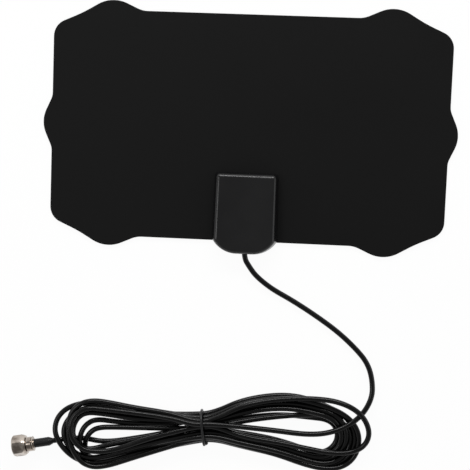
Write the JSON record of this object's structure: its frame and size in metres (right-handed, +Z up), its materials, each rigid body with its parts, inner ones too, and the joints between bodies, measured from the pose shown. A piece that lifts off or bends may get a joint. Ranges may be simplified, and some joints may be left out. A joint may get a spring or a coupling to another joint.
{
  "type": "indoor tv antenna",
  "caption": "Thin flat black indoor antenna sheet with scalloped corners, a small sloping housing on its lower edge, a tied hank of thin coax and a screw-on plug with a free-turning nut.",
  "frame": {"origin": "on the table under the middle of the antenna's box, its cable and plug apart; the rear cover's back lies on z = 0", "axes": "+X along the sheet's long side, +Y towards its top edge away from the housing, +Z up out of its front"},
  "size_m": [0.2489, 0.2724, 0.011],
  "materials": {
    "sheet_film": "very matt, fine grain",
    "housing_plastic": "moulded, fine satin texture",
    "foil": "rolled foil",
    "circuit_board": "solder mask",
    "rivet_brass": "plain",
    "ferrite": "sintered",
    "copper_wire": "drawn",
    "crimp_steel": "plain",
    "dielectric": "waxy",
    "cable_jacket": "satin",
    "tie_cover": "satin",
    "sleeve_black": "shrunk, satin",
    "nickel_plate": "bright plate, lightly worn",
    "pin_brass": "bright"
  },
  "bodies": {
    "antenna": {"front_sheet": "sheet_film", "back_sheet": "sheet_film", "element_left": "foil", "element_right": "foil", "front_cover": "housing_plastic", "rear_cover": "housing_plastic", "matching_board": "circuit_board", "feed_rivets": "rivet_brass", "balun_core": "ferrite", "balun_winding": "copper_wire", "cable_collar": "crimp_steel", "cable_insulator": "dielectric", "cable_conductor": "copper_wire", "coax_lead": "cable_jacket", "cable_hank": "cable_jacket", "twist_tie": "tie_cover", "coax_tail": "cable_jacket", "shrink_sleeve": "sleeve_black", "connector_body": "nickel_plate", "connector_post": "nickel_plate", "connector_insulator": "dielectric", "centre_pin": "pin_brass"},
    "nut": {"coupling_nut": "nickel_plate"}
  },
  "joints": [
    {"name": "nut_spin", "type": "hinge", "parent": "antenna", "child": "nut", "pos_m": [-0.1305, -0.1894, 0.0055], "axis": [0.9799, 0.1994, 0], "continuous": true}
  ]
}
